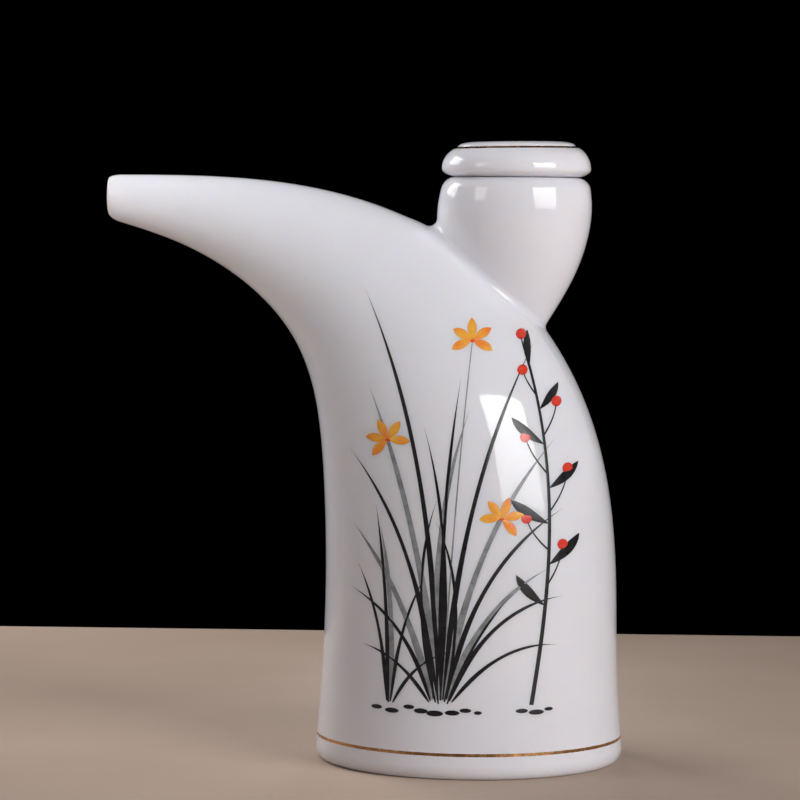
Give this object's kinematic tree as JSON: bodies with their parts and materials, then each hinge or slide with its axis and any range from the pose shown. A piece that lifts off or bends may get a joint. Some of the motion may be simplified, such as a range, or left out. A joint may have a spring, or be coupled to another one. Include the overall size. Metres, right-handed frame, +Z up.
{
  "type": "wine pot",
  "caption": "Porcelain wine pot with a horn-shaped body that bends into its own pouring spout, a tulip-shaped filling cup on the shoulder and a lift-off lid.",
  "frame": {"origin": "on the table plane, at the middle of the pot's length from spout tip to back, in its plane of symmetry", "axes": "+Z up; the spout pours towards -X; Y is across the pot, square to its plane of symmetry"},
  "size_m": [0.147, 0.0868, 0.1748],
  "materials": {
    "porcelain": "white clear-glazed porcelain, gloss",
    "lid_porcelain": "white clear-glazed porcelain, gloss",
    "seal_silicone": "milky translucent silicone, satin"
  },
  "bodies": {
    "pot": {"pot_body": "porcelain", "spout": "porcelain", "filling_cup": "porcelain"},
    "seal": {"lid_seal_ring": "seal_silicone"},
    "lid": {"lid": "lid_porcelain"}
  },
  "joints": [
    {"name": "lid_lift", "type": "slide", "parent": "pot", "child": "seal", "axis": [0, 0, 1], "range_m": [0, 0.04]},
    {"name": "lid_turn", "type": "hinge", "parent": "seal", "child": "lid", "pos_m": [0.04167, 0, 0.165], "axis": [0, 0, 1], "continuous": true}
  ]
}
